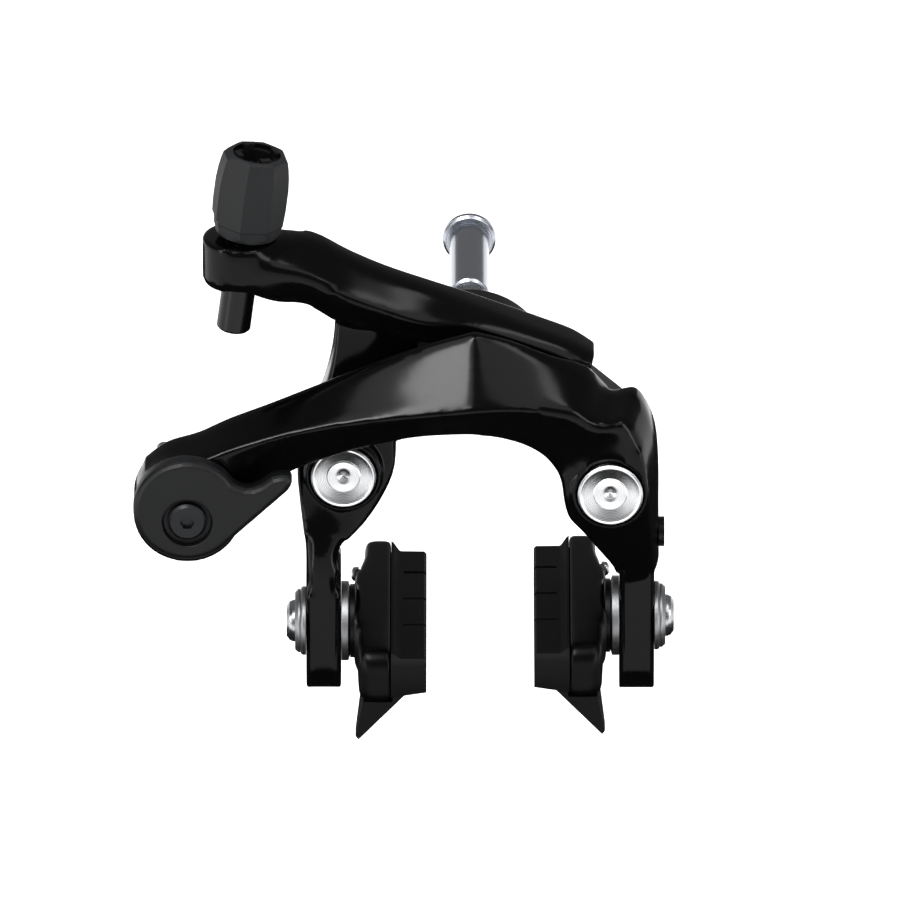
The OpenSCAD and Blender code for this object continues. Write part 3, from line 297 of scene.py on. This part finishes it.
@dataclass
class SubAssembly:
    """Pieces that are built together, each in place of one CAD node."""

    made: list[bpy.types.Object] = field(default_factory=list, init=False)
    corner_reach: float = field(default=1.6, init=False)

    def copy_of(self, node: str) -> bmesh.types.BMesh:
        """Take a merged copy of a CAD node's mesh.

        Args:
            node: the CAD node's name.

        Returns:
            A new bmesh.
        """
        mesh = bmesh.new()
        mesh.from_mesh(frame["nodes"][node].data)
        bmesh.ops.remove_doubles(mesh, verts=mesh.verts, dist=1e-6)
        return mesh

    def keep(self, mesh: bmesh.types.BMesh, node: str, finish: Finish) -> bpy.types.Object:
        """Turn a bmesh into the piece that stands for a CAD node.

        Args:
            mesh: the finished bmesh, which is freed.
            node: the CAD node that the piece replaces.
            finish: what the piece is dressed in.

        Returns:
            The piece.
        """
        name = f"{node}_piece"
        data = bpy.data.meshes.new(name)
        mesh.to_mesh(data)
        mesh.free()
        piece = bpy.data.objects.new(name, data)
        bpy.context.scene.collection.objects.link(piece)
        data.materials.append(finish.material())
        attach(piece, BODY_OF[node])
        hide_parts(node)
        self.made.append(piece)
        return piece

    def crisp(self, node: str, finish: Finish, edge_mm: float = 0.12) -> bpy.types.Object:
        """Keep a node's shape, with smooth faces and a small round on its edges.

        Args:
            node: the CAD node.
            finish: what the piece is dressed in.
            edge_mm: width of the rounded edge.

        Returns:
            The piece.
        """
        mesh = self.copy_of(node)
        for face in mesh.faces:
            face.smooth = True
        for edge in mesh.edges:
            edge.smooth = edge.calc_face_angle(0.0) < SHARP
        piece = self.keep(mesh, node, finish)
        if edge_mm:
            rounding = piece.modifiers.new("edge round", "BEVEL")
            rounding.width = edge_mm * MM
            rounding.segments = 2
            rounding.limit_method = "ANGLE"
            rounding.angle_limit = SHARP
            rounding.use_clamp_overlap = True
            rounding.harden_normals = True
        return piece

    def skin(
        self,
        node: str,
        finish: Finish,
        voxel_mm: float,
        passes: int,
        crease_deg: float = 180.0,
        soft: tuple[Soft, ...] = (),
        leg: Leg | None = None,
    ) -> bpy.types.Object:
        """Give a node a flowing skin: even quads, smoothed between the creases that it has.

        Args:
            node: the CAD node.
            finish: what the piece is dressed in.
            voxel_mm: size of the quads.
            passes: smoothing passes on the open surface.
            crease_deg: angle between two quads from which an edge holds its shape.
            soft: centre and radius in mm, and further passes, of the places where no crease is kept.
            leg: the leg whose upright corners are rounded and whose slot is left as it is.

        Returns:
            The piece.
        """
        mesh = self.copy_of(node)
        rough = bpy.data.meshes.new("rough")
        mesh.to_mesh(rough)
        mesh.free()
        block = bpy.data.objects.new("block", rough)
        bpy.context.scene.collection.objects.link(block)
        remesh = block.modifiers.new("even quads", "REMESH")
        remesh.mode = "VOXEL"
        remesh.voxel_size = voxel_mm * MM
        depsgraph = bpy.context.evaluated_depsgraph_get()
        even = bpy.data.meshes.new_from_object(block.evaluated_get(depsgraph))
        bpy.data.objects.remove(block)
        mesh = bmesh.new()
        mesh.from_mesh(even)
        fixed: set[bmesh.types.BMVert] = set()
        if leg:
            self.round_leg(mesh, leg)
            fixed = {vert for vert in mesh.verts if leg.holds(vert.co)}
        loose = [vert for vert in mesh.verts if vert not in fixed]
        self.smooth(mesh, loose, FIRST_PASSES)
        spots = [(Vector(at) * MM, reach * MM, more) for at, reach, more in soft]
        held = {
            vert
            for edge in mesh.edges
            if edge.calc_face_angle(0.0) > radians(crease_deg)
            for vert in edge.verts
            if all((vert.co - at).length > reach for at, reach, _ in spots)
        }
        self.smooth(mesh, [vert for vert in loose if vert not in held], passes)
        for at, reach, more in spots:
            self.smooth(mesh, [vert for vert in loose if (vert.co - at).length < reach], more)
        self.smooth(mesh, loose, LAST_PASSES)
        for face in mesh.faces:
            face.smooth = True
        return self.keep(mesh, node, finish)

    def round_leg(self, mesh: bmesh.types.BMesh, leg: Leg, radius_mm: float = 1.2) -> None:
        """Round the upright corners of a leg.

        Args:
            mesh: the bmesh with the leg.
            leg: the leg.
            radius_mm: radius of the round.
        """
        low, high = Vector(leg.low) * MM, Vector(leg.high) * MM
        radius = radius_mm * MM
        middle = ((low + high) / 2).to_2d()
        flat = ((high - low) / 2).to_2d() - Vector((radius, radius))
        for vert in mesh.verts:
            out = vert.co.to_2d() - middle
            past = Vector((abs(out.x) - flat.x, abs(out.y) - flat.y))
            in_corner = min(past) > 0 and radius < past.length < self.corner_reach * radius
            if low.z < vert.co.z < high.z and in_corner:
                corner = past.normalized() * radius + flat
                vert.co.x = middle.x + copysign(corner.x, out.x)
                vert.co.y = middle.y + copysign(corner.y, out.y)

    def smooth(self, mesh: bmesh.types.BMesh, verts: list[bmesh.types.BMVert], passes: int) -> None:
        """Smooth some points of a mesh.

        Args:
            mesh: the bmesh.
            verts: the points that move.
            passes: how often.
        """
        for _ in range(passes):
            bmesh.ops.smooth_vert(
                mesh, verts=verts, factor=0.5, use_axis_x=True, use_axis_y=True, use_axis_z=True,
            )


# Gloss black stove lacquer: near black, with a clear soft-edged mirror of the studio.
BLACK_LACQUER = Lacquer(
    "black_stove_lacquer", "#0A0A0B", roughness=0.15, specular=0.14, grain_mm=1.4, bump_mm=0.003, spread=0.03,
)
# Black anodised bracket: satin, a shade greyer than the lacquer.
BRACKET_BLACK = Finish(
    "black_anodised_aluminium", "#101011", roughness=0.34, specular=0.2, grain_mm=0.4, bump_mm=0.006,
)
# Bright zinc-plated steel of nuts and screws: a soft white shine.
BRIGHT_STEEL = Finish(
    "bright_plated_steel", "#B9BABC", metallic=1.0, roughness=0.26, grain_mm=0.5, bump_mm=0.001,
)
# Black oxide on small steel screws: dull black with a metal edge.
BLACK_STEEL = Finish(
    "black_oxide_steel", "#18181A", metallic=0.6, roughness=0.36, grain_mm=0.4, bump_mm=0.006,
)
# Burnished screw head: dark steel with a soft bright rim.
DARK_SCREW = Finish(
    "burnished_dark_steel", "#2C2D2F", metallic=0.8, roughness=0.4, grain_mm=0.4, bump_mm=0.006,
)
# Drawn spring wire: grey, with a long soft highlight.
SPRING_STEEL = Finish(
    "drawn_spring_steel", "#9A9B9D", metallic=1.0, roughness=0.3, grain_mm=0.3, bump_mm=0.004,
)
# Sintered bronze of the bushes: warm and grainy.
BUSH_BRONZE = Finish(
    "sintered_bronze", "#9B7A4A", metallic=1.0, roughness=0.42, grain_mm=0.25, bump_mm=0.01,
)
# Grey painted lever: dark, dull, with a fine powder grain.
GREY_LEVER = Finish(
    "grey_painted_lever", "#17181A", roughness=0.42, specular=0.25, grain_mm=0.22, bump_mm=0.012,
)
# Moulded grey nylon: dull, with a fine spark-eroded grain.
GREY_NYLON = Finish(
    "grey_moulded_nylon", "#202123", roughness=0.56, specular=0.3, grain_mm=0.22, bump_mm=0.014,
)
# Moulded black nylon: a dull black.
BLACK_NYLON = Finish(
    "black_moulded_nylon", "#0F0F10", roughness=0.45, specular=0.3, grain_mm=0.25, bump_mm=0.01,
)
# Painted shade in the knob's bore: the grey nylon wall is coloured near-black and given almost no gloss, to
# stand in for the shade deep in the hole.
PAINTED_SHADE_BORE = Finish(
    "painted_shade_knob_bore", "#040404", roughness=0.7, specular=0.05, grain_mm=0.3, bump_mm=0.01,
)
# Gloss black anodised stem: a thin bright line down a black rod.
BLACK_STEM = Finish(
    "black_anodised_stem", "#080809", roughness=0.2, specular=0.25, grain_mm=0.8, bump_mm=0.004,
)
# Cast holder in black: satin with soft broad highlights.
HOLDER_BLACK = Finish(
    "black_cast_holder", "#070708", roughness=0.32, specular=0.11, grain_mm=0.5, bump_mm=0.008,
)
# Brake rubber: charcoal and matt.
PAD_RUBBER = Finish(
    "brake_rubber", "#0E0E0F", roughness=0.6, specular=0.16, grain_mm=0.3, bump_mm=0.02,
)
# Sintered washers: pale metal with a visible stipple.
WASHER_SILVER = Finish(
    "sintered_silver_washer", "#A3A4A6", metallic=1.0, roughness=0.42, grain_mm=0.35, bump_mm=0.03,
)


@dataclass
class Studio:
    """Pale floor, soft lights and the camera at the photograph's angle."""

    elevation: float = 25.0
    aim_mm: Point = (-3.9, -20.0, -12.3)
    distance: float = 6.0
    lens: float = 1200.0
    floor_z: float = -0.35
    card_z: float = -0.2
    room_light: float = 0.18

    def camera(self) -> None:
        """Set up the long lens that the photograph's near-parallel view asks for."""
        data = bpy.data.cameras.new("camera")
        data.lens = self.lens
        data.sensor_width = 36.0
        data.clip_end = 50.0
        camera = bpy.data.objects.new("camera", data)
        bpy.context.scene.collection.objects.link(camera)
        tilt = radians(self.elevation)
        camera.location = Vector(self.aim_mm) * MM + self.distance * Vector((0, -cos(tilt), sin(tilt)))
        camera.rotation_euler = (pi / 2 - tilt, 0, 0)
        bpy.context.scene.camera = camera

    def floor(self) -> None:
        """Lay the pale floor, white to the eye and still shadowed."""
        mesh = bmesh.new()
        bmesh.ops.create_grid(mesh, x_segments=1, y_segments=1, size=30.0)
        bmesh.ops.translate(mesh, verts=mesh.verts, vec=(0, 0, self.floor_z))
        data = bpy.data.meshes.new("floor")
        mesh.to_mesh(data)
        mesh.free()
        floor = bpy.data.objects.new("floor", data)
        bpy.context.scene.collection.objects.link(floor)
        paint = bpy.data.materials.new("pale_floor")
        paint.use_nodes = True
        tree = paint.node_tree
        shader = tree.nodes["Principled BSDF"]
        shader.inputs["Base Color"].default_value = linear("#E8E8E8")
        shader.inputs["Roughness"].default_value = 0.9
        path = add_node(tree, "ShaderNodeLightPath")
        seen = add_node(
            tree, "ShaderNodeMath", {"operation": "MAXIMUM"},
            links={0: path.outputs["Is Camera Ray"], 1: path.outputs["Is Glossy Ray"]},
        )
        seen = add_node(
            tree, "ShaderNodeMath", {"operation": "MAXIMUM"},
            links={0: seen.outputs[0], 1: path.outputs["Is Transmission Ray"]},
        )
        shader.inputs["Emission Color"].default_value = (1, 1, 1, 1)
        tree.links.new(seen.outputs[0], shader.inputs["Emission Strength"])
        data.materials.append(paint)

    def softbox(
        self, name: str, at: Point, width: float, height: float, power: float,
        gloss_only: bool = False, mirrored: bool = True,
    ) -> None:
        """Hang one softbox that faces the caliper.

        Args:
            name: the lamp's name.
            at: its place in metres.
            width: its width in metres.
            height: its height in metres.
            power: its power in watts.
            gloss_only: whether it only shows as a mirrored highlight.
            mirrored: whether it shows as a mirrored highlight at all.
        """
        data = bpy.data.lights.new(name, "AREA")
        data.shape = "RECTANGLE"
        data.size = width
        data.size_y = height
        data.energy = power
        lamp = bpy.data.objects.new(name, data)
        bpy.context.scene.collection.objects.link(lamp)
        lamp.location = at
        lamp.visible_diffuse = not gloss_only
        lamp.visible_glossy = mirrored
        aim = Vector(self.aim_mm) * MM - Vector(at)
        lamp.rotation_euler = aim.to_track_quat("-Z", "Y").to_euler()

    def dark_card(self) -> None:
        """Lay a black card below the caliper that only the gloss of its underside mirrors."""
        mesh = bmesh.new()
        bmesh.ops.create_grid(mesh, x_segments=1, y_segments=1, size=0.5)
        bmesh.ops.scale(mesh, verts=mesh.verts, vec=(0.8, 0.75, 1.0))
        bmesh.ops.translate(mesh, verts=mesh.verts, vec=(0.0, 0.1, self.card_z))
        data = bpy.data.meshes.new("dark_card")
        mesh.to_mesh(data)
        mesh.free()
        card = bpy.data.objects.new("dark_card", data)
        bpy.context.scene.collection.objects.link(card)
        paint = bpy.data.materials.new("black_card")
        paint.use_nodes = True
        shader = paint.node_tree.nodes["Principled BSDF"]
        shader.inputs["Base Color"].default_value = linear("#050505")
        shader.inputs["Roughness"].default_value = 0.9
        data.materials.append(paint)
        card.visible_camera = False
        card.visible_diffuse = False
        card.visible_shadow = False
        card.visible_transmission = False

    def lights(self) -> None:
        """Hang the softboxes and set the even light of the room."""
        self.softbox("overhead", (0.0, 0.5, 1.0), 0.8, 0.6, 14.0, mirrored=False)
        self.softbox("left_strip", (-1.1, -0.7, 0.2), 0.3, 1.2, 6.0)
        self.softbox("right_strip", (1.1, -0.7, 0.2), 0.3, 1.2, 6.0)
        self.softbox("highlight", (-0.37, -0.62, 0.84), 0.28, 0.4, 6.5, gloss_only=True)
        self.softbox("highlight_glow", (-0.42, -0.55, 0.9), 0.7, 0.8, 4.0, gloss_only=True)
        self.softbox("beam_light", (0.5, -0.24, 0.95), 0.16, 0.3, 0.7, gloss_only=True)
        self.softbox("right_glow", (0.48, -0.55, 0.85), 0.6, 0.6, 2.0, gloss_only=True)
        world = bpy.data.worlds.new("room")
        world.use_nodes = True
        background = world.node_tree.nodes["Background"]
        background.inputs["Color"].default_value = (1, 1, 1, 1)
        background.inputs["Strength"].default_value = self.room_light
        bpy.context.scene.world = world

    def build(self) -> None:
        """Build the whole studio."""
        bpy.context.scene.view_settings.view_transform = "Standard"
        self.camera()
        self.floor()
        self.dark_card()
        self.lights()


@dataclass
class Arms(SubAssembly):
    """The two forged arms, with a flowing skin over their lofted sections."""

    voxel_mm: float = 0.35
    passes: int = 50
    crease_deg: float = 8.0
    left_leg: Leg = Leg((-32.7, -29.0, -62.0), (-25.7, -17.0, -33.5), 4.6)
    right_leg: Leg = Leg((30.0, -29.0, -62.0), (37.0, -17.0, -35.0), 8.9)
    rear_soft: tuple[Soft, ...] = (((-38.0, -23.0, 29.0), 12.0, 30), ((-29.2, -27.0, -34.4), 7.0, 60))
    front_soft: tuple[Soft, ...] = (((25.0, -37.0, 2.0), 12.0, 30),)

    def build(self) -> None:
        """Build both arms."""
        for node, soft, leg in (
            ("rear_arm", self.rear_soft, self.left_leg), ("front_arm", self.front_soft, self.right_leg),
        ):
            self.skin(node, BLACK_LACQUER, self.voxel_mm, self.passes, self.crease_deg, soft, leg)


@dataclass
class Mounting(SubAssembly):
    """The bracket with the mounting bolt, its nut and washer, and the spring that it carries."""

    def build(self) -> None:
        """Build the bracket and what is fixed to it."""
        # Turned steel round the bolt's axis: fine rings on the nut's flange.
        nut = Turned(
            "turned_blued_steel", "#C2C6CE", metallic=1.0, roughness=0.26, anisotropy=0.3, bump_mm=0.002,
            tint=0.06, pitch_mm=0.4,
        )
        self.crisp("pivot_bracket", BRACKET_BLACK, 0.3)
        self.crisp("sleeve_nut", nut, 0.0)
        for node in ("mount_bolt", "seat_washer", "axle_nuts"):
            self.crisp(node, BRIGHT_STEEL)
        self.crisp("return_spring", SPRING_STEEL, 0.0)
        self.crisp("spring_clip", BLACK_NYLON)


@dataclass
class Pivots(SubAssembly):
    """The turned axles with their caps, and the small pieces on which the arms run."""

    left_centre: Point = (-0.0252, -0.0205, -0.01495)
    right_centre: Point = (0.0281, -0.028, -0.01495)

    def build(self) -> None:
        """Build the axles, bushes, washers, seats and the roller."""
        for node, centre in (("left_axle", self.left_centre), ("right_axle", self.right_centre)):
            # Turned aluminium: rings round the axle that stretch the light into two bright fans.
            cap = Turned(
                f"turned_aluminium_{node}", "#E6E7E9", metallic=1.0, roughness=0.28, anisotropy=0.8,
                bump_mm=0.0012, tint=0.04, axis=Axis.Y, centre=centre, pitch_mm=0.3,
            )
            self.crisp(node, cap, 0.0)
        self.crisp("thrust_washers", WASHER_SILVER)
        for node in ("rear_arm_bush", "front_arm_bush"):
            self.crisp(node, BUSH_BRONZE)
        for node in ("left_spring_seat", "right_spring_seat"):
            self.crisp(node, BLACK_NYLON)
        for node in ("roller_pin", "link_roller"):
            self.crisp(node, BRIGHT_STEEL)
        self.crisp("centring_screw", BLACK_STEEL, 0.35)


@dataclass
class QuickRelease(SubAssembly):
    """The lever on the arm's end, and the cam and cable clamp behind it."""

    voxel_mm: float = 0.2
    passes: int = 12
    crease_deg: float = 12.0

    def build(self) -> None:
        """Build the lever and its fittings."""
        self.skin("release_lever", GREY_LEVER, self.voxel_mm, self.passes, self.crease_deg)
        self.crisp("lever_screw", DARK_SCREW)
        for node in ("release_cam", "clamp_bolt"):
            self.crisp(node, BRIGHT_STEEL)
        for node in ("cam_washer", "clamp_plate"):
            self.crisp(node, WASHER_SILVER)


@dataclass
class CableAdjuster(SubAssembly):
    """The knob with its clip ring and the hollow bolt that it turns on."""

    foot_mm: Point = (-45.9, -19.0, 24.2)
    lean: float = 7.2
    low_mm: float = 11.177
    tall_mm: float = 17.3
    flats: int = 8
    steps: int = 18
    front_flat: float = radians(-80)
    wing: float = 1.05
    wing_at: float = radians(190)
    wing_from_mm: float = 3.3
    bore_mm: float = 4.76
    crease: float = radians(16)

    def knob(self) -> bmesh.types.BMesh:
        """Build the knob from rings that turn from round to eight-sided and back.

        Returns:
            The knob's bmesh, in place.
        """
        top = self.tall_mm
        # Height and radius in mm of each ring, and how far it is from round to eight-sided.
        rows = [
            (0.0, 6.2, 0.0), (0.3, 6.5, 0.5), (0.8, 6.8, 0.9), (2.3, 7.0, 1.0), (2.6, 7.15, 1.0),
            (3.2, 7.2, 1.0), (3.4, 7.2, 1.0), (6.0, 7.35, 1.0), (10.5, 7.35, 1.0), (13.0, 7.15, 1.0),
            (15.0, 6.85, 1.0), (top - 0.8, 6.5, 1.0), (top - 0.3, 6.2, 0.9), (top, 5.8, 0.7),
            (top, 4.8, 0.0), (top - 0.2, 4.7, 0.0), (top - 7.0, 4.7, 0.0), (top - 7.0, 3.43, 0.0),
            (0.0, 3.43, 0.0),
        ]
        mesh = bmesh.new()
        side = 2 * pi / self.flats
        start = self.front_flat - side / 2
        count = self.flats * self.steps
        loops = []
        for height, radius, share in rows:
            ring = bmesh.ops.create_circle(mesh, segments=count, radius=radius * MM)["verts"]
            winged = share == 1.0 and height > self.wing_from_mm
            for vert in ring:
                angle = atan2(vert.co.y, vert.co.x)
                flat = cos(side / 2) / cos((angle - start) % side - side / 2)
                on_wing = winged and cos(angle - self.wing_at) > cos(side / 2)
                wing = self.wing if on_wing else 1.0
                vert.co *= (1 - share + share * flat) * wing
                vert.co.z = height * MM
            loops.append({edge for vert in ring for edge in vert.link_edges})
        for lower, upper in zip(loops, loops[1:] + loops[:1]):
            bmesh.ops.bridge_loops(mesh, edges=list(lower | upper))
        bmesh.ops.recalc_face_normals(mesh, faces=mesh.faces)
        # Faces within the bore's radius take the second material, the painted shade of the hole.
        for face in mesh.faces:
            face.material_index = int(face.calc_center_median().to_2d().length < self.bore_mm * MM)
        place = (
            Matrix.Translation(Vector(self.foot_mm) * MM)
            @ Matrix.Rotation(radians(self.lean), 4, "Y")
            @ Matrix.Translation((0, 0, self.low_mm * MM))
        )
        bmesh.ops.transform(mesh, matrix=place, verts=mesh.verts)
        for face in mesh.faces:
            face.smooth = True
        for edge in mesh.edges:
            edge.smooth = edge.calc_face_angle(0.0) < self.crease
        return mesh

    def build(self) -> None:
        """Build the knob, the clip ring and the hollow bolt."""
        knob = self.keep(self.knob(), "adjuster_knob", GREY_NYLON)
        # Second material: painted shade, near-black, on the faces inside the bore.
        knob.data.materials.append(PAINTED_SHADE_BORE.material())
        self.crisp("knob_clip", BLACK_NYLON)
        self.crisp("adjuster_bolt", BLACK_STEM)


@dataclass
class BrakeShoe(SubAssembly):
    """One shoe: bolt, washers, holder, rubber and its screw."""

    side: Side = Side.LEFT
    voxel_mm: float = 0.25
    passes: int = 36

    def build(self) -> None:
        """Build the shoe of this side."""
        name = self.side.value
        self.crisp(f"{name}_post", BRIGHT_STEEL)
        for washer in ("outer_washers", "convex_washer"):
            self.crisp(f"{name}_{washer}", WASHER_SILVER)
        self.crisp(f"{name}_concave_washer", BLACK_STEEL)
        self.skin(f"{name}_holder", HOLDER_BLACK, self.voxel_mm, self.passes)
        self.crisp(f"{name}_pad", PAD_RUBBER, 0.3)
        self.crisp(f"{name}_pad_screw", BRIGHT_STEEL)


def main() -> None:
    """Build the studio and the caliper."""
    logging.basicConfig(level=logging.INFO, format="%(message)s")
    Studio().build()
    parts: tuple[SubAssembly, ...] = (
        Arms(), Mounting(), Pivots(), QuickRelease(), CableAdjuster(),
        BrakeShoe(Side.LEFT), BrakeShoe(Side.RIGHT),
    )
    for part in parts:
        part.build()


if __name__ == "__main__":
    main()
